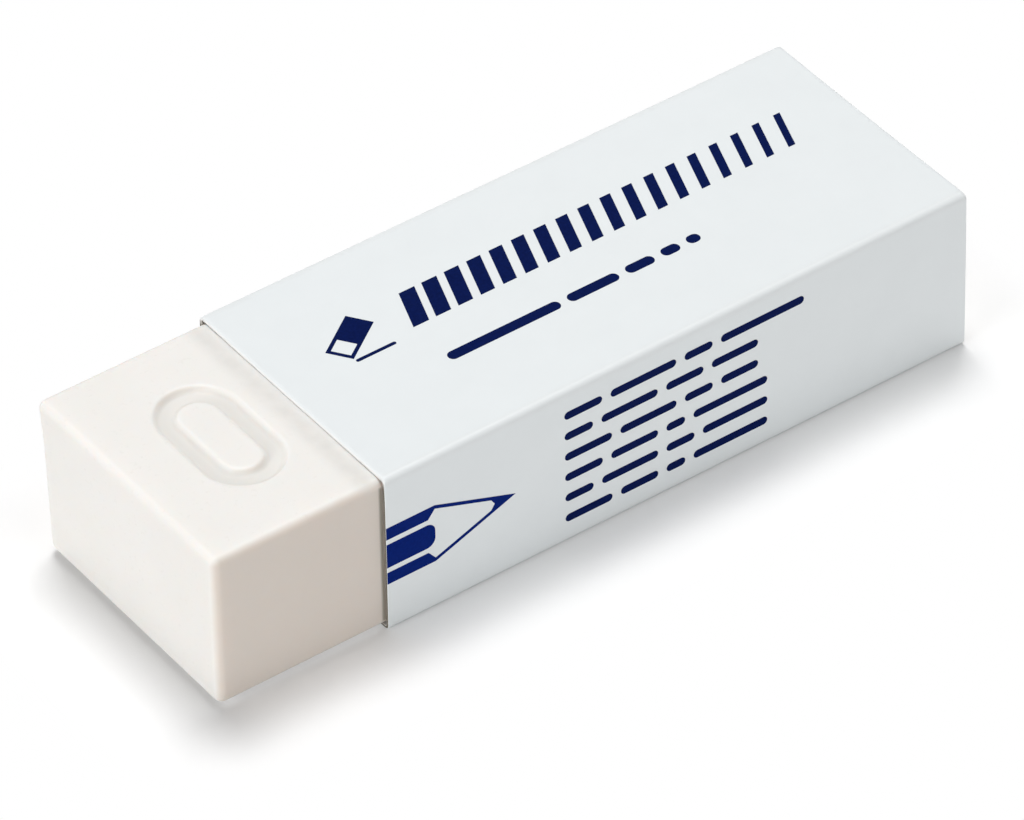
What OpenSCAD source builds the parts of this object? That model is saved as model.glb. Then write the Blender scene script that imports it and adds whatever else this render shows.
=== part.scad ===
// Block eraser in a folded card sleeve.
//
// The moulded block lies along X with its bare end towards -X. The sleeve is one sheet of
// card folded round the block and glued on the +Y side, and it slides along the block.
// The origin is midway along the block and across the sleeve, on the surface that they lie on.

/* [Eraser block] */
// Length of the moulded block
block_l = 65; // [58:0.5:80]
// Width of the block
block_w = 21.25; // [18:0.05:28]
// Height of the block
block_h = 13.4; // [12:0.1:18]
// Radius of the block's edges and corners
edge_r = 0.7; // [0.4:0.1:1.5]

/* [Moulded mark] */
// Distance from the bare end to the middle of the sunk oval
mark_inset = 8.1; // [6:0.1:9]
// Length of the oval, across the block
mark_l = 11.6; // [9:0.2:14]
// Width of the oval, along the block
mark_w = 6.6; // [5:0.2:8]
// Width of the groove that draws the oval
groove_w = 1.9; // [0.8:0.1:2.1]
// Depth of the groove
groove_d = 0.4; // [0.2:0.05:0.8]

/* [Card sleeve] */
// Length of the block that is left bare
bare_l = 14.1; // [8:0.1:20]
// How far the sleeve runs past the block's far end
far_lip = 0.2; // [0:0.1:2]
// Thickness of the card
card_t = 0.25; // [0.2:0.05:0.5]
// Clearance between the block and the card, above and below
slide_gap = 0.05; // [0.05:0.05:0.3]
// Clearance between the block and the card, on each side
side_gap = 0.05; // [0.05:0.05:0.5]
// Inside radius of the folds
fold_r = 0.2; // [0.1:0.05:0.5]
// Height of the glue flap that stands inside the +Y wall
flap_h = 10; // [5:0.5:11]
// Height of the outer panel's cut edge above the surface
seam_z = 0.45; // [0.3:0.05:1]

/* [Print on the top] */
// Thickness of the ink
ink_t = 0.03; // [0.02:0.01:0.05]
// Distance from the sleeve's open edge to the middle of the eraser figure
figure_inset = 7; // [5:0.1:9]
// Length of the eraser figure
figure_l = 4.2; // [3:0.1:6]
// Width of the eraser figure
figure_w = 2.1; // [1.5:0.1:3]
// Length of the figure's bare tip
figure_tip = 1.3; // [0.8:0.1:2]
// Length of the line that the figure is rubbing out
figure_line = 3.4; // [2:0.1:4]
// Tilt of the eraser figure, in degrees
figure_tilt = 35; // [0:5:60]
// Distance from the sleeve's open edge to the first hatch stroke
hatch_inset = 11.2; // [11:0.1:14]
// Distance from the last hatch stroke to the sleeve's far edge
hatch_margin = 4.2; // [2:0.1:10]
// Height of the hatch strokes
hatch_h = 3.6; // [2:0.1:5]
// Distance from one hatch stroke to the next
hatch_pitch = 1.95; // [1.6:0.05:3]
// Width of the first hatch stroke
hatch_w_first = 1.35; // [0.8:0.05:1.5]
// Width of the last hatch stroke
hatch_w_last = 0.6; // [0.3:0.05:1]
// Lean of the hatch strokes, in degrees
hatch_lean = 20; // [0:5:35]
// Distance from the sleeve's middle line to the middle of the hatching
hatch_y = 2.8; // [2:0.1:4]
// Distance from the sleeve's middle line to the middle of the broken line
line_y = -3.1; // [-5:0.1:-2]
// Height of the broken line
line_h = 0.9; // [0.4:0.1:1.5]
// Length of the broken line
line_l = 22; // [15:0.5:28]

/* [Print on the side] */
// Height of the pencil figure's barrel
pencil_h = 5.2; // [4:0.1:7]
// Width of the light lines between the barrel's facets
facet_gap = 0.45; // [0.3:0.05:0.6]
// Radius of the corners where the middle facet ends
facet_r = 0.75; // [0.4:0.05:0.9]
// How much further the outer facets reach along their outer edges
facet_slant = 0.6; // [0.2:0.1:1]
// Length of the barrel, from the sleeve's open edge
barrel_l = 4.1; // [3:0.1:6]
// Length of the sharpened cone
cone_l = 6.9; // [5:0.1:8]
// Length of the bare lead at the tip of the cone
lead_l = 2.1; // [1:0.1:3]
// How far the lead's back edge bows towards the tip
lead_bow = 0.3; // [0:0.1:0.6]
// Width of the drawn lines
draw_w = 0.3; // [0.2:0.05:0.5]
// Distance from the sleeve's open edge to the rows of dashes
rows_inset = 15.3; // [13:0.1:17]
// Distance from one row of dashes to the next
row_pitch = 1.9; // [1.5:0.05:2]
// Height of a dash
dash_h = 0.7; // [0.4:0.05:1.1]
// Length of one unit of dash
dash_unit = 0.82; // [0.5:0.02:0.9]
// Gap between two dashes
dash_gap = 0.75; // [0.4:0.05:1.2]

/* [Hidden] */
$fn = 48;

// Lengths of the dashes in each row, in units, from the top row down
DASH_ROWS = [[4, 7, 3, 9], [3, 6, 4, 5], [5, 6, 3, 4], [4, 5, 2, 8], [3, 6, 3, 7], [5, 4, 2, 8]];
// Lengths of the dashes that the broken line ends in, as shares of its length
LINE_SHARES = [0.44, 0.2, 0.11, 0.07, 0.05];
LINE_GAP = 0.0325;

overlap = 1;                                         // how far a cutter stands past a surface

sleeve_w = block_w + 2 * side_gap + 3 * card_t;      // the +Y wall is two cards thick
sleeve_h = block_h + 2 * slide_gap + 2 * card_t;
sleeve_l = block_l - bare_l + far_lip;
bare_x = -block_l / 2;                               // the block's bare end
open_x = bare_x + bare_l;                            // the sleeve's open edge
near_y = -sleeve_w / 2;                              // the sleeve's printed side
far_y = sleeve_w / 2;                                // the sleeve's glued side
flap_y = far_y - card_t;                             // where the glue flap meets the outer panel
block_y = near_y + card_t + side_gap;
block_z = card_t + slide_gap;
fold_out = fold_r + card_t;                          // outside radius of the folds
mid_z = sleeve_h / 2;

white_vinyl = [0.95, 0.94, 0.91];
white_card = [0.92, 0.94, 0.95];
navy_ink = [0.03, 0.08, 0.33];

// ---- the moulded block -------------------------------------------------------------------

// A box with rounded edges, its lowest corner at the origin.
module rounded_box(size, r) {
    inner = [for (s = size) s - 2 * r];
    for (k = [0:2])
        translate([for (i = [0:2]) i == k ? 0 : r])
            cube([for (i = [0:2]) i == k ? size[i] : inner[i]]);
    for (a = [0, 1], b = [0, 1]) {
        translate([r, r + a * inner[1], r + b * inner[2]])
            rotate([0, 90, 0]) cylinder(h = inner[0], r = r);
        translate([r + a * inner[0], r, r + b * inner[2]])
            rotate([-90, 0, 0]) cylinder(h = inner[1], r = r);
        translate([r + a * inner[0], r + b * inner[1], r])
            cylinder(h = inner[2], r = r);
    }
    for (a = [0, 1], b = [0, 1], c = [0, 1])
        translate([r + a * inner[0], r + b * inner[1], r + c * inner[2]]) sphere(r = r);
}

// A flat shape with round ends, centred, with its length along Y.
module oval(length, width) {
    straight = length - width;
    square([width, straight], center = true);
    for (side = [-1, 1]) translate([0, side * straight / 2]) circle(d = width);
}

module moulded_groove() {
    translate([bare_x + mark_inset, block_y + block_w / 2, block_z + block_h - groove_d])
        linear_extrude(groove_d + overlap)
            difference() {
                oval(mark_l, mark_w);
                oval(mark_l - 2 * groove_w, mark_w - 2 * groove_w);
            }
}

module eraser_block() {
    color(white_vinyl)
        difference() {
            translate([bare_x, block_y, block_z]) rounded_box([block_l, block_w, block_h], edge_r);
            moulded_groove();
        }
}

// ---- the folded card -----------------------------------------------------------------------
// The section is drawn with the sleeve's Y along x and its Z along y, and follows the sheet
// from the glue flap round the bottom, the printed side and the top to the outer panel.

// One fold: a quarter ring about (y, z), bending through the quadrant that the signs name.
module fold(y, z, sign_y, sign_z) {
    translate([y, z])
        intersection() {
            difference() {
                circle(r = fold_out);
                circle(r = fold_r);
            }
            to_quadrant(sign_y, sign_z) square(fold_out + overlap);
        }
}

// Turns a shape in the first quadrant into the quadrant that the signs name.
module to_quadrant(sign_y, sign_z) {
    mirror([sign_y < 0 ? 1 : 0, 0]) mirror([0, sign_z < 0 ? 1 : 0]) children();
}

// One flat panel of the section, between two corners.
module panel(from, to) {
    translate(from) square(to - from);
}

module sleeve_section() {
    panel([flap_y - card_t, fold_out], [flap_y, card_t + flap_h]);
    fold(flap_y - fold_out, fold_out, 1, -1);
    panel([near_y + fold_out, 0], [flap_y - fold_out, card_t]);
    fold(near_y + fold_out, fold_out, -1, -1);
    panel([near_y, fold_out], [near_y + card_t, sleeve_h - fold_out]);
    fold(near_y + fold_out, sleeve_h - fold_out, -1, 1);
    panel([near_y + fold_out, sleeve_h - card_t], [far_y - fold_out, sleeve_h]);
    fold(far_y - fold_out, sleeve_h - fold_out, 1, 1);
    panel([flap_y, seam_z], [far_y, sleeve_h - fold_out]);
}

module card_sleeve() {
    color(white_card)
        translate([open_x, 0, 0])
            rotate([90, 0, 90]) linear_extrude(sleeve_l) sleeve_section();
}

// ---- the print -----------------------------------------------------------------------------

// Ink on the top panel, drawn from the sleeve's open edge and its middle line.
module ink_on_top() {
    color(navy_ink)
        translate([open_x, 0, sleeve_h]) linear_extrude(ink_t) children();
}

// Ink on the printed side, drawn from the sleeve's open edge and the surface it lies on.
module ink_on_side() {
    color(navy_ink)
        translate([open_x, near_y, 0]) rotate([90, 0, 0]) linear_extrude(ink_t) children();
}

// A flat bar with round ends, from x = 0, centred on y = 0, and at its shortest a round dot.
module bar(length, width) {
    translate([length / 2, 0]) rotate(90) oval(max(length, width), width);
}

// An eraser that rubs on its corner: the held part filled in, the bare tip only outlined,
// and a line under it that it is rubbing out.
module eraser_figure() {
    corner_x = (figure_w * sin(figure_tilt) - figure_l * cos(figure_tilt)) / 2;
    corner_y = -(figure_w * cos(figure_tilt) + figure_l * sin(figure_tilt)) / 2;
    rotate(figure_tilt)
        translate([-figure_l / 2, -figure_w / 2])
            difference() {
                square([figure_l, figure_w]);
                translate([draw_w, draw_w]) square([figure_tip, figure_w - 2 * draw_w]);
            }
    translate([corner_x, corner_y - draw_w]) bar(figure_line, draw_w);
}

// Leaning strokes that thin out from the first to the last.
module hatching() {
    length = sleeve_l - hatch_inset - hatch_margin;
    count = floor(length / hatch_pitch);
    lean = hatch_h * tan(hatch_lean);
    for (i = [0:count - 1]) {
        width = hatch_w_first + (hatch_w_last - hatch_w_first) * i / (count - 1);
        translate([i * hatch_pitch, -hatch_h / 2])
            polygon([[0, 0], [width, 0], [width + lean, hatch_h], [lean, hatch_h]]);
    }
}

// The sum of the first n values of a list.
function sum_first(list, n) = n == 0 ? 0 : list[n - 1] + sum_first(list, n - 1);

// A line that ends in shorter and shorter dashes.
module broken_line() {
    for (i = [0:len(LINE_SHARES) - 1])
        translate([(sum_first(LINE_SHARES, i) + i * LINE_GAP) * line_l, 0])
            bar(LINE_SHARES[i] * line_l, line_h);
}

module top_print() {
    ink_on_top() {
        translate([figure_inset, hatch_y]) eraser_figure();
        translate([hatch_inset, hatch_y]) hatching();
        translate([hatch_inset, line_y]) broken_line();
    }
}

// The middle facet of the pencil's barrel: a band whose end has round corners.
module middle_facet(height) {
    square_h = height - 2 * facet_r;
    translate([0, -height / 2]) square([barrel_l - facet_r, height]);
    translate([0, -square_h / 2]) square([barrel_l, square_h]);
    for (side = [-1, 1])
        translate([barrel_l - facet_r, side * square_h / 2]) circle(r = facet_r);
}

// A pencil that comes out of the sleeve's open edge, its tip towards the far end. The outer
// facets of its barrel run on as the outline of its cone, down to the solid lead.
module pencil_figure() {
    half = pencil_h / 2;
    facet_h = (pencil_h - 2 * facet_gap) / 4;
    tip_x = barrel_l + cone_l;
    lead_x = tip_x - lead_l;
    slope = half / cone_l;
    stroke_h = draw_w * sqrt(1 + slope * slope);      // a sloping line's height, straight up
    lead_h = lead_l * slope - stroke_h;
    middle_facet(2 * facet_h);
    polygon([[0, half], [barrel_l, half], [tip_x, 0], [barrel_l, -half], [0, -half],
             [0, facet_h - half], [barrel_l - facet_slant, facet_h - half],
             [barrel_l, stroke_h - half], [lead_x, -lead_h], [lead_x + lead_bow, 0],
             [lead_x, lead_h], [barrel_l, half - stroke_h],
             [barrel_l - facet_slant, half - facet_h], [0, half - facet_h]]);
}

// Rows of dashes, centred on the panel's height.
module dash_rows() {
    rows = len(DASH_ROWS);
    for (row = [0:rows - 1], i = [0:len(DASH_ROWS[row]) - 1])
        translate([sum_first(DASH_ROWS[row], i) * dash_unit + i * dash_gap,
                   ((rows - 1) / 2 - row) * row_pitch])
            bar(DASH_ROWS[row][i] * dash_unit, dash_h);
}

module side_print() {
    ink_on_side() {
        translate([0, mid_z]) pencil_figure();
        translate([rows_inset, mid_z]) dash_rows();
    }
}

eraser_block();
card_sleeve();
top_print();
side_print();
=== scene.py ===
"""The looks of a block eraser in a folded card sleeve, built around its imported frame."""

import math

import bmesh
import bpy
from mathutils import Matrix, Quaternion, Vector, noise


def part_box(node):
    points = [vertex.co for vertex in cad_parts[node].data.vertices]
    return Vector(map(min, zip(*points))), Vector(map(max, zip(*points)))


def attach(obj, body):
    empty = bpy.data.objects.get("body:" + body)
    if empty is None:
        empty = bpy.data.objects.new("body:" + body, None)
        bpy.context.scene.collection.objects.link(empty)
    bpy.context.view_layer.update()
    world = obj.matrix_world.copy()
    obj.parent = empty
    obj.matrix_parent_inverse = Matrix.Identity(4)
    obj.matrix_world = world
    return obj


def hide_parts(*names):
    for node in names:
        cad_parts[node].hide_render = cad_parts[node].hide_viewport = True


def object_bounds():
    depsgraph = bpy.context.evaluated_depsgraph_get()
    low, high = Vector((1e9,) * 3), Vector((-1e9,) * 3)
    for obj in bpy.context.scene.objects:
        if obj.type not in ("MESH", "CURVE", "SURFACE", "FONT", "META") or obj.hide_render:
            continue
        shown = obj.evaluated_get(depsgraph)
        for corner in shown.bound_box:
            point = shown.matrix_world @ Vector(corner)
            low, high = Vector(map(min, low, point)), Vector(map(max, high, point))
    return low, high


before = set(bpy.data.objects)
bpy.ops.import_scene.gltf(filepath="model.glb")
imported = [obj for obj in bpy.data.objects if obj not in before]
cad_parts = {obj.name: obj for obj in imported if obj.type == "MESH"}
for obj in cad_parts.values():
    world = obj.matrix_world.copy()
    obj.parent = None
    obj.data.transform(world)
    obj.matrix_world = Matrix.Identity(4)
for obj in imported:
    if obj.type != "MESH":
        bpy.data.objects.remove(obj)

cad_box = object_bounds()
MM = 0.001

# ---- sizes, as the part's own source has them ----------------------------------------------------

CARD = 0.25 * MM                # thickness of the card
FOLD_RADIUS = 0.2 * MM          # inside radius of its folds
FLAP_HEIGHT = 10 * MM           # height of the glue flap inside the +Y wall
SEAM_HEIGHT = 0.45 * MM         # foot of the outer panel above the surface
EDGE_RADIUS = 0.7 * MM          # rounded edges of the moulded block
MARK_INSET = 8.1 * MM           # from the bare end to the middle of the sunk oval
MARK_LENGTH = 11.6 * MM
MARK_WIDTH = 6.6 * MM
GROOVE_WIDTH = 1.9 * MM
GROOVE_DEPTH = 0.4 * MM

block_low, block_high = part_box("eraser_block")
sleeve_low, sleeve_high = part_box("card_sleeve")
block_middle = (block_low + block_high) / 2
sleeve_middle = (sleeve_low + sleeve_high) / 2
object_middle = (cad_box[0] + cad_box[1]) / 2


def smooth(share):
    """Eases a share from 0 to 1, and holds it at either end."""
    held = min(max(share, 0.0), 1.0)
    return held * held * (3 - 2 * held)


def even_steps(start, end, step):
    """Places from start up to, and not including, end, about a step apart."""
    count = max(1, round((end - start) / step))
    return [start + (end - start) * i / count for i in range(count)]


def new_object(name, vertices, faces, body, node):
    """A mesh that stands for a CAD node and rides on its body."""
    mesh = bpy.data.meshes.new(name)
    mesh.from_pydata(vertices, [], faces)
    mesh.update()
    mesh.shade_smooth()
    made = bpy.data.objects.new(name, mesh)
    bpy.context.scene.collection.objects.link(made)
    return take_place(made, body, node)


def take_place(made, body, node):
    """Puts an object on a body, in place of a CAD node."""
    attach(made, body)
    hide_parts(node)
    return made


# ---- the moulded block ---------------------------------------------------------------------------

EDGE_STEPS = 6                  # facets in half of a rounded edge
COARSE_STEP = 1.5 * MM
FINE_STEP = 0.14 * MM           # round the sunk oval
GROOVE_WALL = 0.5 * MM          # width of the groove's sloping walls
SINK = 0.02 * MM                # how far the large faces have shrunk in
RIPPLE = 0.015 * MM             # depth of the soft unevenness of the faces
RIPPLE_LENGTH = 7 * MM
RIPPLE_SHIFT = 9.0              # sets the ripples of the three directions apart
SKIN_POWER = 5                  # keeps the shrinkage and the ripples to the block's skin
BLOCK_FLARE = (0.28 * MM, 0.17 * MM)     # how far its top swells out at the -Y and +Y side when bare
FLARE_FADE = 20 * MM            # how far into the sleeve the block takes to lose that
FLAP_BULGE = 0.22 * MM          # how far its +Y side swells out where no glue flap holds it in

mark_x = block_low.x + MARK_INSET
mark_y = block_middle.y


def edge_lines(low, high, inner):
    """Grid lines across the block: round one edge, the inner ones, and round the other."""
    turns = [EDGE_RADIUS * math.tan(math.radians(45 * i / EDGE_STEPS)) for i in range(1, EDGE_STEPS + 1)]
    return (
        [low + EDGE_RADIUS - turn for turn in reversed(turns)]
        + inner
        + [high - EDGE_RADIUS]
        + [high - EDGE_RADIUS + turn for turn in turns]
    )


def lines_round_mark(low, high, middle, reach):
    """Inner grid lines that are fine within reach of the mark's middle."""
    return (
        even_steps(low + EDGE_RADIUS, middle - reach, COARSE_STEP)
        + even_steps(middle - reach, middle + reach, FINE_STEP)
        + even_steps(middle + reach, high - EDGE_RADIUS, COARSE_STEP)
    )


def lattice_shell(lines):
    """The outside of a lattice of grid lines along X, Y and Z, as corners and faces."""
    numbers = {}
    faces = []

    def number(index):
        return numbers.setdefault(tuple(index), len(numbers))

    for axis in range(3):
        across, along = (axis + 1) % 3, (axis + 2) % 3
        for end in (0, len(lines[axis]) - 1):
            for i in range(len(lines[across]) - 1):
                for j in range(len(lines[along]) - 1):
                    face = []
                    for a, b in ((0, 0), (1, 0), (1, 1), (0, 1)):
                        index = [0, 0, 0]
                        index[axis], index[across], index[along] = end, i + a, j + b
                        face.append(number(index))
                    faces.append(face if end else face[::-1])
    corners = [Vector(lines[axis][index[axis]] for axis in range(3)) for index in numbers]
    return corners, faces


def on_rounded_block(corner):
    """Moves a point of a sharp-edged box onto the block's rounded surface."""
    inner = Vector(
        min(max(corner[i], block_low[i] + EDGE_RADIUS), block_high[i] - EDGE_RADIUS) for i in range(3)
    )
    return inner + (corner - inner).normalized() * EDGE_RADIUS


def groove_depth(x, y):
    """Depth of the moulded oval groove under a point of the block's top."""
    straight = (MARK_LENGTH - MARK_WIDTH) / 2
    outside = math.hypot(x - mark_x, max(abs(y - mark_y) - straight, 0)) - MARK_WIDTH / 2
    inside_groove = GROOVE_WIDTH / 2 - abs(outside + GROOVE_WIDTH / 2)
    return GROOVE_DEPTH * smooth(inside_groove / GROOVE_WALL)


def flare(share_y, share_z, sides):
    """How far a point moves along Y where the -Y and +Y sides lean out by the given two at the top.

    The shares run from -1 to 1 across the object and up it.
    """
    across = (min(max(share_y, -1), 1) + 1) / 2
    return (sides[1] * across - sides[0] * (1 - across)) * (share_z + 1) / 2


def settled(point):
    """Moves a point of the block a little, as the vinyl shrinks, ripples and gives to the card."""
    half = (block_high - block_low) / 2
    share = [(point[i] - block_middle[i]) / half[i] for i in range(3)]
    moved = point.copy()
    for i in range(3):
        flatness = (1 - share[(i + 1) % 3] ** 2) * (1 - share[(i + 2) % 3] ** 2)
        wave = 0.5 + 0.5 * noise.noise(point / RIPPLE_LENGTH + Vector((i * RIPPLE_SHIFT, 0, 0)))
        moved[i] -= share[i] ** SKIN_POWER * (SINK * flatness + RIPPLE * wave)
    bare = 1 - smooth((point.x - sleeve_low.x) / FLARE_FADE)
    moved.y += bare * flare(share[1], share[2], BLOCK_FLARE)
    flap_top = sleeve_low.z + CARD + FLAP_HEIGHT
    above_flap = smooth((point.z - flap_top) / (block_high.z - EDGE_RADIUS - flap_top))
    moved.y += FLAP_BULGE * above_flap * smooth(share[1])
    return moved


def moulded_block():
    """The block as one closed skin, with the depth of its sunk oval kept at each point."""
    lines = [
        edge_lines(
            block_low.x,
            block_high.x,
            lines_round_mark(block_low.x, block_high.x, mark_x, MARK_WIDTH / 2 + FINE_STEP),
        ),
        edge_lines(
            block_low.y,
            block_high.y,
            lines_round_mark(block_low.y, block_high.y, mark_y, MARK_LENGTH / 2 + FINE_STEP),
        ),
        edge_lines(
            block_low.z,
            block_high.z,
            even_steps(block_low.z + EDGE_RADIUS, block_high.z - EDGE_RADIUS, COARSE_STEP),
        ),
    ]
    corners, faces = lattice_shell(lines)
    points, sunk = [], []
    for corner in corners:
        point = on_rounded_block(corner)
        depth = groove_depth(point.x, point.y) if point.z > block_middle.z else 0
        point = settled(point)
        point.z -= depth
        points.append(point)
        sunk.append(depth / GROOVE_DEPTH)
    made = new_object("moulded_block", points, faces, "block", "eraser_block")
    attribute = made.data.attributes.new("sunk", "FLOAT", "POINT")
    attribute.data.foreach_set("value", sunk)
    return made


# ---- the folded card -----------------------------------------------------------------------------
# The sheet is followed along its middle, from the top of the glue flap round the bottom, the
# printed side and the top to the foot of the outer panel. A normal's angle is 0 towards +Y and
# 90 degrees towards +Z.

FOLD_STEPS = 8
PANEL_STEP = 1 * MM
CROWN = -0.065 * MM             # how far the top panel bows out, or sinks where it is below 0
SIDE_BOW = 0.03 * MM            # how far the side walls bow out
SLEEVE_FLARE = (0.32 * MM, 0.15 * MM)    # how far its -Y and +Y wall lean out at the open edge
BUCKLE = 0.02 * MM              # slow waves along the card
BUCKLE_LENGTH = 14 * MM
CUT_WANDER = 0.03 * MM          # unevenness of the cut ends
CUT_WANDER_LENGTH = 3 * MM
GLUE_LINE = 0.012 * MM          # the card is this much thinner, so its glued layers stay apart
FOLD_FADE = 0.35 * MM           # how far a fold's worn colour, wear with a little painted shade, reaches into the flat card
CUT_ROUNDING = 0.03 * MM        # of the cut edges that run along the sleeve
TOP_ROLL = 0.235 * MM           # how far the coat rolls over at the cut ends on top
SIDE_ROLL = 0.04 * MM           # the same on the other panels
BACK_ROLL = SIDE_ROLL           # the same of the card's back
ROLL_STEPS = 5
CUT_SEGMENTS = 2                # facets of a rounded cut edge
CUT_ANGLE = 50                  # degrees; edges sharper than this are rounded

fold_out = FOLD_RADIUS + CARD
flap_y = sleeve_high.y - CARD


def section_points():
    """Points along the folded sheet's middle, each with its normal's angle and distance from a fold."""
    points = []

    def straight(start, end, angle, ends_at_folds):
        length = math.dist(start, end)
        places = [0, FOLD_FADE / 2, *even_steps(FOLD_FADE, length - FOLD_FADE, PANEL_STEP)]
        places += [length - FOLD_FADE, length - FOLD_FADE / 2, length]
        for place in places:
            share = place / length
            to_fold = min(
                place if ends_at_folds[0] else length,
                length - place if ends_at_folds[1] else length,
            )
            y = start[0] + (end[0] - start[0]) * share
            z = start[1] + (end[1] - start[1]) * share
            points.append((y, z, angle, to_fold))

    def turn(y, z, first_angle):
        radius = FOLD_RADIUS + CARD / 2
        for i in range(1, FOLD_STEPS):
            angle = first_angle - 90 * i / FOLD_STEPS
            across, up = math.cos(math.radians(angle)), math.sin(math.radians(angle))
            points.append((y + radius * across, z + radius * up, angle, 0))

    near_y, far_y, top_z = sleeve_low.y, sleeve_high.y, sleeve_high.z
    half = CARD / 2
    low_z, high_z = fold_out, top_z - fold_out
    near_turn, flap_turn, far_turn = near_y + fold_out, flap_y - fold_out, far_y - fold_out
    straight((flap_y - half, CARD + FLAP_HEIGHT), (flap_y - half, low_z), 0, (False, True))
    turn(flap_turn, low_z, 0)
    straight((flap_turn, half), (near_turn, half), -90, (True, True))
    turn(near_turn, low_z, -90)
    straight((near_y + half, low_z), (near_y + half, high_z), -180, (True, True))
    turn(near_turn, high_z, -180)
    straight((near_turn, top_z - half), (far_turn, top_z - half), -270, (True, True))
    turn(far_turn, high_z, -270)
    straight((far_y - half, high_z), (far_y - half, SEAM_HEIGHT), -360, (True, False))
    return points


def card_bow(point):
    """How a point of the sleeve moves from the card's flat, square form."""
    half = (sleeve_high - sleeve_low) / 2
    share_y = (point.y - sleeve_middle.y) / (half.y - 2 * CARD)
    share_z = (point.z - sleeve_middle.z) / (half.z - CARD)
    open_y = 1 - min(share_y * share_y, 1)
    open_z = 1 - min(share_z * share_z, 1)
    wave = noise.noise(point / BUCKLE_LENGTH)
    cut = 0.5 + 0.5 * noise.noise(point / CUT_WANDER_LENGTH)
    moved = Vector((0, 0, 0))
    if share_z > 0:
        moved.z = (CROWN + BUCKLE * wave) * open_y
    moved.y = math.copysign((SIDE_BOW + BUCKLE * wave) * open_z, share_y)
    opened = 1 - smooth((point.x - sleeve_low.x) / (2 * half.x))
    moved.y += opened * flare(share_y, (point.z - sleeve_middle.z) / half.z, SLEEVE_FLARE)
    moved.x = -CUT_WANDER * cut * smooth(1 - (point.x - sleeve_low.x) / PANEL_STEP)
    return moved


def rolled_off(to_cut, roll):
    """How much thinner the card is at a distance from its cut, where its surface rolls over."""
    short = max(roll - to_cut, 0)
    return roll - math.sqrt(roll * roll - short * short)


def folded_sleeve():
    """The sheet as one closed skin: its outside, its inside and its cut edges."""
    section = section_points()
    rolled = [TOP_ROLL * (1 - math.cos(math.radians(90 * i / ROLL_STEPS))) for i in range(ROLL_STEPS + 1)]
    rows = [sleeve_low.x + inset for inset in rolled]
    rows += even_steps(sleeve_low.x + FOLD_FADE, sleeve_high.x - FOLD_FADE, PANEL_STEP)
    rows += [sleeve_high.x - FOLD_FADE] + [sleeve_high.x - inset for inset in reversed(rolled)]
    vertices, wear_shade = [], []
    for side in (1, -1):
        for x in rows:
            to_cut = min(x - sleeve_low.x, sleeve_high.x - x)
            for y, z, angle, to_fold in section:
                across, up = math.cos(math.radians(angle)), math.sin(math.radians(angle))
                coat_roll = SIDE_ROLL + (TOP_ROLL - SIDE_ROLL) * smooth(up)
                offset = side * (CARD / 2 - rolled_off(to_cut, coat_roll if side > 0 else BACK_ROLL))
                offset += GLUE_LINE if side < 0 else 0
                point = Vector((x, y + offset * across, z + offset * up))
                vertices.append(point + card_bow(point))
                wear_shade.append(smooth(1 - to_fold / FOLD_FADE))
    width, layer = len(section), len(rows) * len(section)
    faces, sides = [], []

    def add(side, *corners):
        faces.append(corners)
        sides.append(side)

    for i in range(len(rows) - 1):
        for j in range(width - 1):
            a, b = i * width + j, (i + 1) * width + j
            add(0, a, a + 1, b + 1, b)
            add(1, layer + b, layer + b + 1, layer + a + 1, layer + a)
        for j in (0, width - 1):
            a, b = i * width + j, (i + 1) * width + j
            strip = (a, b, layer + b, layer + a)
            add(2, *(strip if j == 0 else strip[::-1]))
    for first in (0, (len(rows) - 1) * width):
        for j in range(first, first + width - 1):
            strip = (j, layer + j, layer + j + 1, j + 1)
            add(2, *(strip if first == 0 else strip[::-1]))
    sleeve = new_object("folded_sleeve", vertices, faces, "sleeve", "card_sleeve")
    sleeve.data.polygons.foreach_set("material_index", sides)
    attribute = sleeve.data.attributes.new("fold_wear_shade", "FLOAT", "POINT")
    attribute.data.foreach_set("value", wear_shade)
    rounding = sleeve.modifiers.new("cut_rounding", "BEVEL")
    rounding.width = CUT_ROUNDING
    rounding.segments = CUT_SEGMENTS
    rounding.limit_method = "ANGLE"
    rounding.angle_limit = math.radians(CUT_ANGLE)
    return sleeve


# ---- the print -----------------------------------------------------------------------------------

INK_FILM = 0.012 * MM           # how far the ink stands above the card
WELD_REACH = 0.001 * MM         # points closer than this are one


def print_on_card(name, node, axis, surface, outward):
    """A node's flat print, thinned to a film of ink and laid on the bowed card.

    The card's face lies at surface along the axis, and faces outward along it, 1 or -1.
    """
    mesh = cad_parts[node].data.copy()
    mesh.name = name
    work = bmesh.new()
    work.from_mesh(mesh)
    bmesh.ops.remove_doubles(work, verts=work.verts, dist=WELD_REACH)
    for place in even_steps(sleeve_low.x + PANEL_STEP, sleeve_high.x, PANEL_STEP):
        everything = work.verts[:] + work.edges[:] + work.faces[:]
        bmesh.ops.bisect_plane(work, geom=everything, plane_co=(place, 0, 0), plane_no=(1, 0, 0))
    for vertex in work.verts:
        point = vertex.co.copy()
        lifted = abs(point[axis] - surface) > INK_FILM / 2
        point[axis] = surface
        point += card_bow(point)
        point[axis] += outward * INK_FILM if lifted else 0
        vertex.co = point
    work.to_mesh(mesh)
    work.free()
    made = bpy.data.objects.new(name, mesh)
    bpy.context.scene.collection.objects.link(made)
    return take_place(made, "sleeve", node)


# ---- materials -----------------------------------------------------------------------------------
# A pair of colours holds the two ends of a cloudy variation. Each field of noise has the size of its
# features, and an offset that sets it apart from the others.

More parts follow.
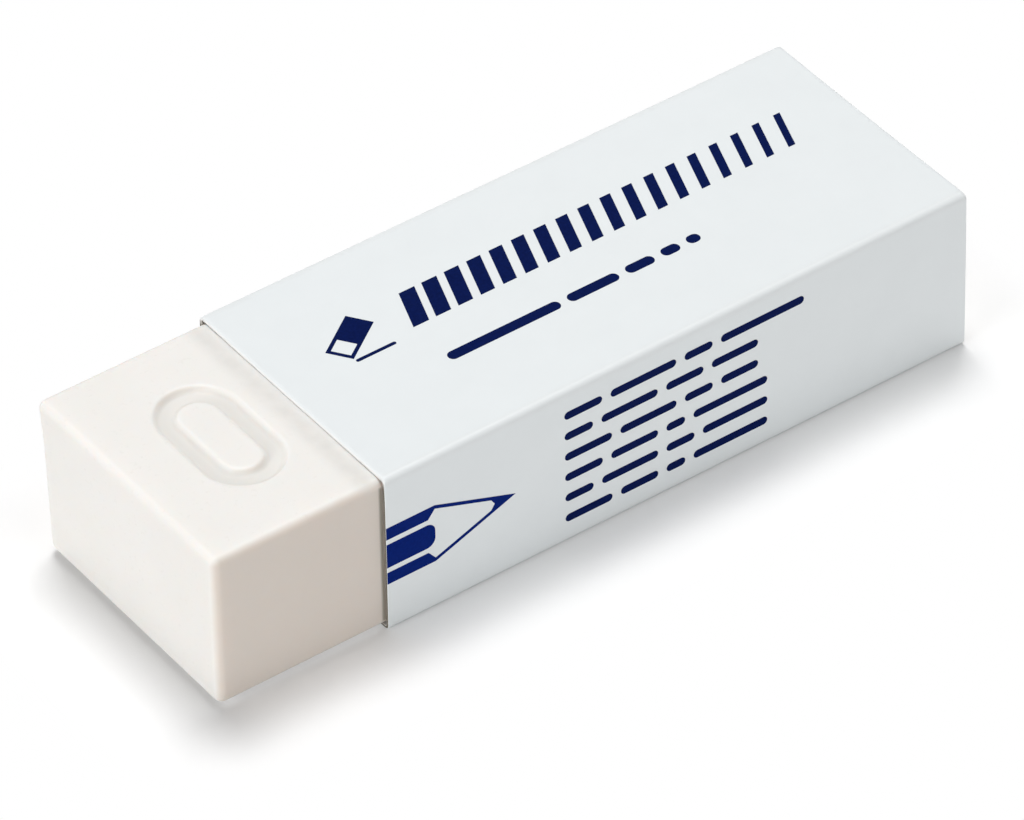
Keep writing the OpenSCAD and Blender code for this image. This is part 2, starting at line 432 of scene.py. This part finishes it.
NOISE_SPAN = (0.3, 0.7)         # noise hardly leaves this range
SHADE_BAND_INSET = 0.9 * MM            # from the sleeve's open edge to the middle of the grey band of painted shade on the block's top beside it
SHADE_BAND_REACH = 1.45 * MM
SHADE_BAND_DEPTH = 0.8 * MM            # how far down from the block's top the band reaches
GAP_SHADE_INSET = 0.12 * MM         # the same inset for the thin dark line of painted shade on the block's sides, where the gap by the card's edge lies
GAP_SHADE_REACH = 0.28 * MM
GAP_SHADE_TURN = (0.93, 1.0)        # how squarely the surface faces sideways where that line of painted shade starts and is full
SIDE_SHADE_TURN = (0.3, 0.85)         # the same for the darker, warmer colour painted on the block's sides as painted shade
LIT_TOP_DEPTH = 1.0 * MM          # how far down from the top the cut edge is painted pale, and the coat rolled over it lighter: painted light
LIT_EDGE_REACH = 0.1 * MM          # how far from the cut the coat rolled over it on top is painted lighter: painted light that fills the shade at its foot
PENCIL_END = sleeve_low.x + 13 * MM    # between the pencil figure and the rows of dashes
SPECK_SPAN = (0.62, 0.75)       # the top of the noise's range, which shows as specks
SHADE_BAND_BLOTCH = 0.55               # the strength of that band's painted shade where it is weakest
FOLD_WEAR_SHADE = 0.6                 # the share of the worn colour on a fold's ridge, a little darker than the coat: wear and painted shade against the light the fold catches

VINYL_GLOW = 0.45               # the share of light that passes through the vinyl's skin
VINYL_GLOW_COLOUR = (1.0, 0.75, 0.6)
VINYL_GLOW_DEPTH = 1.2 * MM
VINYL = ((0.82, 0.8, 0.765), (0.835, 0.815, 0.785))
# the block's sides painted darker and warmer than its top: painted shade
VINYL_SIDE_SHADE = ((0.69, 0.624, 0.564), (0.703, 0.637, 0.576))
VINYL_SPECK = (0.8, 0.78, 0.745)
# the sunk oval painted darker: painted shade in the groove
VINYL_GROOVE_SHADE = (0.778, 0.757, 0.719)
# the grey band painted on the block's top beside the sleeve's open edge: painted shade of the card's step
VINYL_EDGE_SHADE = (0.71, 0.69, 0.66)
# a dark line painted on the block's sides at the card's edge: painted shade of the gap
GAP_SHADE = (0.3, 0.272, 0.225)
COAT = ((0.759, 0.792, 0.802), (0.771, 0.804, 0.814))
# the coat's rolled edge on top painted lighter: painted light
COAT_LIT_EDGE = (0.89, 0.885, 0.87)
# the folds' worn colour, a little darker than the coat: wear and painted shade
COAT_WORN_SHADED = (0.748, 0.772, 0.777)
CARD_BACK = ((0.66, 0.64, 0.6), (0.72, 0.7, 0.66))
# the cut edge's core, painted darker than card: painted shade
CARD_CORE_SHADE = ((0.13, 0.115, 0.09), (0.18, 0.162, 0.132))
# the cut edge along the top painted pale: painted light
CARD_CUT_LIT = (0.8, 0.79, 0.77)
DEEP_NAVY = ((0.0006, 0.0056, 0.055), (0.0014, 0.0084, 0.076))
PENCIL_NAVY = ((0.0005, 0.0118, 0.13), (0.001, 0.0152, 0.165))


def feed(tree, source, socket):
    """Gives a socket another node's output, or a plain value."""
    if isinstance(source, bpy.types.NodeSocket):
        tree.links.new(source, socket)
    else:
        socket.default_value = source


def calculated(tree, operation, *values):
    """A Math node's result from one or two values."""
    node = tree.nodes.new("ShaderNodeMath")
    node.operation = operation
    for value, socket in zip(values, node.inputs):
        feed(tree, value, socket)
    return node.outputs[0]


def mapped(tree, value, start, end, low, high, kind="LINEAR"):
    """A value that runs from start to end, brought to the range low to high."""
    node = tree.nodes.new("ShaderNodeMapRange")
    node.interpolation_type = kind
    node.inputs["From Min"].default_value = start
    node.inputs["From Max"].default_value = end
    node.inputs["To Min"].default_value = low
    node.inputs["To Max"].default_value = high
    tree.links.new(value, node.inputs["Value"])
    return node.outputs["Result"]


class Surface:
    """A Principled material whose colour, roughness and relief come from noise in the object's space."""

    def __init__(self, name, **fixed):
        self.material = bpy.data.materials.new(name)
        self.material.use_nodes = True
        self.tree = self.material.node_tree
        self.shader = self.tree.nodes["Principled BSDF"]
        for socket, value in fixed.items():
            self.shader.inputs[socket.replace("_", " ")].default_value = value
        self.place = self.tree.nodes.new("ShaderNodeTexCoord").outputs["Object"]

    def link(self, start, end):
        self.tree.links.new(start, end)

    def noise(self, size, detail=2.0, stretch=(1, 1, 1), offset=0.0):
        """Noise whose features are about size metres across, longer along an axis that stretch raises."""
        mapping = self.tree.nodes.new("ShaderNodeMapping")
        mapping.inputs["Scale"].default_value = [1 / factor for factor in stretch]
        mapping.inputs["Location"].default_value = (offset, offset, offset)
        self.link(self.place, mapping.inputs["Vector"])
        field = self.tree.nodes.new("ShaderNodeTexNoise")
        field.inputs["Scale"].default_value = 1 / size
        field.inputs["Detail"].default_value = detail
        self.link(mapping.outputs["Vector"], field.inputs["Vector"])
        return field.outputs["Fac"]

    def cloud(self, low=0.0, high=1.0, span=NOISE_SPAN, **field):
        """Noise brought from the span to the range low to high."""
        return mapped(self.tree, self.noise(**field), *span, low, high)

    def mixed(self, share, first, second):
        """A colour between two, each a colour or another node's output."""
        node = self.tree.nodes.new("ShaderNodeMix")
        node.data_type = "RGBA"
        self.link(share, node.inputs["Factor"])
        for name, colour in (("A", first), ("B", second)):
            socket = next(s for s in node.inputs if s.name == name and s.type == "RGBA")
            if isinstance(colour, bpy.types.NodeSocket):
                self.link(colour, socket)
            else:
                socket.default_value = (*colour, 1)
        return next(s for s in node.outputs if s.type == "RGBA")

    def near(self, axis, middle, reach):
        """1 at a place along an axis, easing to 0 at the reach on both sides of it."""
        parts = self.tree.nodes.new("ShaderNodeSeparateXYZ")
        self.link(self.place, parts.inputs[0])
        away = calculated(self.tree, "SUBTRACT", parts.outputs[axis], middle)
        distance = calculated(self.tree, "ABSOLUTE", away)
        return mapped(self.tree, distance, 0, reach, 1, 0, "SMOOTHSTEP")

    def facing(self, axis, start, end):
        """0 to 1 as the surface turns to face along an object axis, either way."""
        parts = self.tree.nodes.new("ShaderNodeSeparateXYZ")
        self.link(self.tree.nodes.new("ShaderNodeTexCoord").outputs["Normal"], parts.inputs[0])
        turned = calculated(self.tree, "ABSOLUTE", parts.outputs[axis])
        return mapped(self.tree, turned, start, end, 0, 1)

    def times(self, first, second):
        """The product of two values."""
        return calculated(self.tree, "MULTIPLY", first, second)

    def vertex_value(self, name):
        """A value that is kept at each point of the mesh."""
        node = self.tree.nodes.new("ShaderNodeAttribute")
        node.attribute_name = name
        return node.outputs["Fac"]

    def colour(self, source):
        self.link(source, self.shader.inputs["Base Color"])

    def roughness(self, low, high, **field):
        self.link(self.cloud(low, high, **field), self.shader.inputs["Roughness"])

    def relief(self, depth, **field):
        """Lays a bump of noise over those before. depth is the height in metres of its full range."""
        bump = self.tree.nodes.new("ShaderNodeBump")
        bump.inputs["Distance"].default_value = depth
        self.link(self.noise(**field), bump.inputs["Height"])
        normal = self.shader.inputs["Normal"]
        if normal.is_linked:
            self.link(normal.links[0].from_socket, bump.inputs["Normal"])
        self.link(bump.outputs["Normal"], normal)


def vinyl():
    """Soft white vinyl, a little translucent and finely grained, with painted shade on it.

    Its sides are painted darker and warmer, and its sunk oval darker, as painted shade; a grey band
    of painted shade lies on top beside the sleeve's open edge, and a thin dark line of painted
    shade lies on its sides where the gap by the card's edge is.
    """
    surface = Surface(
        "vinyl",
        Subsurface_Weight=VINYL_GLOW,
        Subsurface_Radius=VINYL_GLOW_COLOUR,
        Subsurface_Scale=VINYL_GLOW_DEPTH,
        Specular_IOR_Level=0.5,
    )
    cloudy = surface.cloud(size=6 * MM, detail=3)
    specks = surface.cloud(span=SPECK_SPAN, size=0.35 * MM, detail=2, offset=3)
    speckled = surface.mixed(specks, surface.mixed(cloudy, *VINYL), VINYL_SPECK)
    # painted shade: the sides get a darker, warmer colour than the top
    sides = surface.mixed(cloudy, *VINYL_SIDE_SHADE)
    side_shaded = surface.mixed(surface.facing("Y", *SIDE_SHADE_TURN), speckled, sides)
    # painted shade: the sunk oval is darkened by its depth
    groove_shaded = surface.mixed(surface.vertex_value("sunk"), side_shaded, VINYL_GROOVE_SHADE)
    # painted shade: a blotchy grey band on the top beside the sleeve's open edge
    shade_band = surface.times(
        surface.near("X", sleeve_low.x - SHADE_BAND_INSET, SHADE_BAND_REACH),
        surface.near("Z", block_high.z, SHADE_BAND_DEPTH),
    )
    blotches = surface.cloud(low=SHADE_BAND_BLOTCH, size=1.3 * MM, detail=3, offset=11)
    edge_shaded = surface.mixed(surface.times(shade_band, blotches), groove_shaded, VINYL_EDGE_SHADE)
    # painted shade: a thin dark line on the sides at the card's edge
    gap_shaded = surface.times(
        surface.near("X", sleeve_low.x - GAP_SHADE_INSET, GAP_SHADE_REACH),
        surface.facing("Y", *GAP_SHADE_TURN),
    )
    surface.colour(surface.mixed(gap_shaded, edge_shaded, GAP_SHADE))
    surface.roughness(low=0.5, high=0.62, size=1.5 * MM, detail=3, offset=5)
    surface.relief(depth=0.006 * MM, size=1.1 * MM, detail=2, offset=7)
    surface.relief(depth=0.0035 * MM, size=0.16 * MM, detail=3, offset=9)
    return surface.material


def card_outside():
    """The coated face of the card: cool white, satin, with the ghost of its fibres."""
    surface = Surface("card_outside", Specular_IOR_Level=0.5)
    coat = surface.mixed(surface.cloud(size=3 * MM, detail=4), *COAT)
    # painted light: the coat rolled over the cut on top is lightened
    lit_edge = surface.times(
        surface.near("X", sleeve_low.x, LIT_EDGE_REACH),
        surface.near("Z", sleeve_high.z, LIT_TOP_DEPTH),
    )
    edge_lit = surface.mixed(lit_edge, coat, COAT_LIT_EDGE)
    # wear and painted shade: the fold ridges are a little darker than the coat
    worn_shaded = surface.times(surface.vertex_value("fold_wear_shade"), FOLD_WEAR_SHADE)
    surface.colour(surface.mixed(worn_shaded, edge_lit, COAT_WORN_SHADED))
    surface.roughness(low=0.36, high=0.46, size=0.8 * MM, detail=3, offset=4)
    surface.relief(depth=0.004 * MM, size=0.5 * MM, detail=3, stretch=(3, 1, 1), offset=2)
    surface.relief(depth=0.0015 * MM, size=0.09 * MM, detail=2, stretch=(2, 1, 1), offset=6)
    return surface.material


def card_inside():
    """The uncoated back of the card: greyer, dull and fibrous."""
    surface = Surface("card_inside", Specular_IOR_Level=0.2)
    fibres = surface.cloud(size=0.4 * MM, detail=4, stretch=(4, 1, 1))
    surface.colour(surface.mixed(fibres, *CARD_BACK))
    surface.roughness(low=0.8, high=0.95, size=1 * MM, detail=2, offset=4)
    surface.relief(depth=0.012 * MM, size=0.2 * MM, detail=4, stretch=(4, 1, 1), offset=2)
    return surface.material


def card_cut():
    """The cut edge of the card: a grey-brown core painted darker as painted shade, and painted pale along
    the top as painted light.
    """
    surface = Surface("card_cut", Specular_IOR_Level=0.2)
    # painted shade on the cut edge, and painted light along its top
    shaded_core = surface.mixed(surface.cloud(size=0.12 * MM, detail=3), *CARD_CORE_SHADE)
    lit_top = surface.near("Z", sleeve_high.z, LIT_TOP_DEPTH)
    surface.colour(surface.mixed(lit_top, shaded_core, CARD_CUT_LIT))
    surface.roughness(low=0.8, high=0.95, size=0.3 * MM, detail=2, offset=4)
    surface.relief(depth=0.01 * MM, size=0.08 * MM, detail=3, offset=2)
    return surface.material


def navy_ink(name, colours):
    """Navy printing ink, which lies on the card's coat unevenly and takes on its relief."""
    surface = Surface(name, Specular_IOR_Level=0.02)
    surface.colour(surface.mixed(surface.cloud(size=0.25 * MM, detail=3), *colours))
    surface.roughness(low=0.42, high=0.55, size=0.8 * MM, detail=3, offset=4)
    surface.relief(depth=0.004 * MM, size=0.5 * MM, detail=3, stretch=(3, 1, 1), offset=2)
    return surface.material


# ---- floor, light and camera ---------------------------------------------------------------------

FLOOR_HALF = 1.5                # metres
FLOOR_GREY = 0.94               # how light the floor is to everything but the camera
FLOOR_SEEN = 0.955              # how light the camera sees it where the shadow can fall
CONTACT_REACH = 1 * MM          # how far in from the object's outline light still gets in under it
CONTACT_LIGHT = 0.33            # the share of plain white in the floor seen at that depth
SHADOW_REACH = (4 * MM, 10 * MM)   # from the same depth outward, where the seen floor fades to plain white
WORLD_LEVEL = 0.227             # of the even light from all round

CAMERA_LENS = 287.0             # millimetres
CAMERA_DISTANCE = 579.4 * MM
CAMERA_AZIMUTH = 325.23         # degrees; 0 looks along +Y, and 90 along -X
CAMERA_ELEVATION = 40.22
CAMERA_ROLL = -1.83
CAMERA_AIM = Vector((-0.85, -1.68, 4.82)) * MM
CAMERA_NEAR = CAMERA_DISTANCE / 100
CAMERA_FAR = 10                 # metres


def direction(azimuth, elevation):
    """The way from the object to something at that azimuth and elevation, in degrees."""
    a, e = math.radians(azimuth), math.radians(elevation)
    return Vector((math.sin(a) * math.cos(e), -math.cos(a) * math.cos(e), math.sin(e)))


def stand_at(made, aim, azimuth, elevation, distance, roll=0.0):
    """Places a light or the camera so that it looks at a point, and adds it to the scene."""
    way = direction(azimuth, elevation)
    made.location = aim + way * distance
    made.rotation_mode = "QUATERNION"
    turn = Quaternion((0, 0, 1), math.radians(roll))
    made.rotation_quaternion = (-way).to_track_quat("-Z", "Y") @ turn
    bpy.context.scene.collection.objects.link(made)


def plain_shader(tree, kind, level):
    """A shader of the given kind in an even grey."""
    node = tree.nodes.new(kind)
    node.inputs["Color"].default_value = (level, level, level, 1)
    return node.outputs[0]


def mixed_shader(tree, share, first, second):
    """A shader between two."""
    node = tree.nodes.new("ShaderNodeMixShader")
    for source, socket in zip((share, first, second), node.inputs):
        tree.links.new(source, socket)
    return node.outputs[0]


def seen_or_lit(tree, output, seen, lit):
    """Gives a surface one shader for the camera, glass and gloss, and another for all other light."""
    path = tree.nodes.new("ShaderNodeLightPath")
    straight = calculated(tree, "MAXIMUM", path.outputs["Is Camera Ray"], path.outputs["Is Glossy Ray"])
    through = calculated(tree, "MAXIMUM", straight, path.outputs["Is Transmission Ray"])
    tree.links.new(mixed_shader(tree, through, lit, seen), output.inputs["Surface"])


def distance_outside(tree, low, high):
    """How far a point of the floor lies outside the upright box between two corners."""
    outside = tree.nodes.new("ShaderNodeTexCoord").outputs["Object"]
    for operation, amount in (
        ("SUBTRACT", (low + high) / 2),
        ("ABSOLUTE", (0, 0, 0)),
        ("SUBTRACT", (high - low) / 2),
        ("MAXIMUM", (0, 0, 0)),
        ("MULTIPLY", (1, 1, 0)),
    ):
        step = tree.nodes.new("ShaderNodeVectorMath")
        step.operation = operation
        step.inputs[1].default_value = amount
        tree.links.new(outside, step.inputs[0])
        outside = step.outputs["Vector"]
    length = tree.nodes.new("ShaderNodeVectorMath")
    length.operation = "LENGTH"
    tree.links.new(outside, length.inputs[0])
    return length.outputs["Value"]


def floor_material():
    """A pale floor that the camera sees as plain white, apart from the object's shadow.

    The light that gets in under the object's rounded lower edges is added to what is seen there.
    """
    made = bpy.data.materials.new("floor")
    made.use_nodes = True
    tree = made.node_tree
    tree.nodes.remove(tree.nodes["Principled BSDF"])
    inward = Vector((CONTACT_REACH, CONTACT_REACH, 0))
    distance = distance_outside(tree, cad_box[0] + inward, cad_box[1] - inward)
    faded = mapped(tree, distance, *SHADOW_REACH, 0, 1, "SMOOTHSTEP")
    contact = mapped(tree, distance, 0, CONTACT_REACH, CONTACT_LIGHT, 0, "SMOOTHSTEP")
    seen = mixed_shader(
        tree,
        calculated(tree, "MAXIMUM", faded, contact),
        plain_shader(tree, "ShaderNodeBsdfDiffuse", FLOOR_SEEN),
        plain_shader(tree, "ShaderNodeEmission", 1),
    )
    lit = plain_shader(tree, "ShaderNodeBsdfDiffuse", FLOOR_GREY)
    seen_or_lit(tree, tree.nodes["Material Output"], seen, lit)
    return made


def floor():
    """A wide level sheet under the object."""
    mesh = bpy.data.meshes.new("floor")
    sides = ((-1, -1), (1, -1), (1, 1), (-1, 1))
    corners = [(x * FLOOR_HALF, y * FLOOR_HALF, cad_box[0].z) for x, y in sides]
    mesh.from_pydata(corners, [], [(0, 1, 2, 3)])
    mesh.materials.append(floor_material())
    made = bpy.data.objects.new("floor", mesh)
    bpy.context.scene.collection.objects.link(made)


def studio_world():
    """White to look at, and a weak even light for everything else."""
    made = bpy.data.worlds.new("studio")
    bpy.context.scene.world = made
    made.use_nodes = True
    tree = made.node_tree
    lit = tree.nodes["Background"]
    lit.inputs["Color"].default_value = (1, 1, 1, 1)
    lit.inputs["Strength"].default_value = WORLD_LEVEL
    seen = plain_shader(tree, "ShaderNodeBackground", 1)
    seen_or_lit(tree, tree.nodes["World Output"], seen, lit.outputs[0])


def softbox(name, azimuth, elevation, distance, width, height, level):
    """An even light that faces the object. level is what it gives a white surface turned to it."""
    data = bpy.data.lights.new(name, "AREA")
    data.shape = "RECTANGLE"
    data.size = width
    data.size_y = height
    data.energy = level * (math.pi * distance) ** 2
    stand_at(bpy.data.objects.new(name, data), object_middle, azimuth, elevation, distance)


def studio_lights():
    softbox("key_above", azimuth=147, elevation=74, distance=0.7, width=0.29, height=0.29, level=0.673)
    softbox("fill_left", azimuth=280, elevation=14, distance=0.6, width=0.26, height=0.16, level=0.437)
    softbox("fill_top", azimuth=20, elevation=65, distance=0.6, width=0.3, height=0.3, level=0.097)
    softbox("fill_low", azimuth=0, elevation=5, distance=0.6, width=0.3, height=0.1, level=0.143)


def camera():
    data = bpy.data.cameras.new("camera")
    data.lens = CAMERA_LENS
    data.clip_start = CAMERA_NEAR
    data.clip_end = CAMERA_FAR
    made = bpy.data.objects.new("camera", data)
    stand_at(made, CAMERA_AIM, CAMERA_AZIMUTH, CAMERA_ELEVATION, CAMERA_DISTANCE, CAMERA_ROLL)
    bpy.context.scene.camera = made


# ---- the whole -----------------------------------------------------------------------------------

bpy.context.scene.view_settings.view_transform = "Standard"
camera()
studio_world()
studio_lights()
floor()

block = moulded_block()
block.data.materials.append(vinyl())

sleeve = folded_sleeve()
for finish in (card_outside(), card_inside(), card_cut()):
    sleeve.data.materials.append(finish)

top_print = print_on_card("top_print_ink", "top_print", 2, sleeve_high.z, 1)
side_print = print_on_card("side_print_ink", "side_print", 1, sleeve_low.y, -1)
deep_ink = navy_ink("navy_ink", DEEP_NAVY)
for printed in (top_print, side_print):
    printed.data.materials.clear()
    printed.data.materials.append(deep_ink)
side_print.data.materials.append(navy_ink("pencil_ink", PENCIL_NAVY))
for face in side_print.data.polygons:
    face.material_index = int(face.center.x < PENCIL_END)
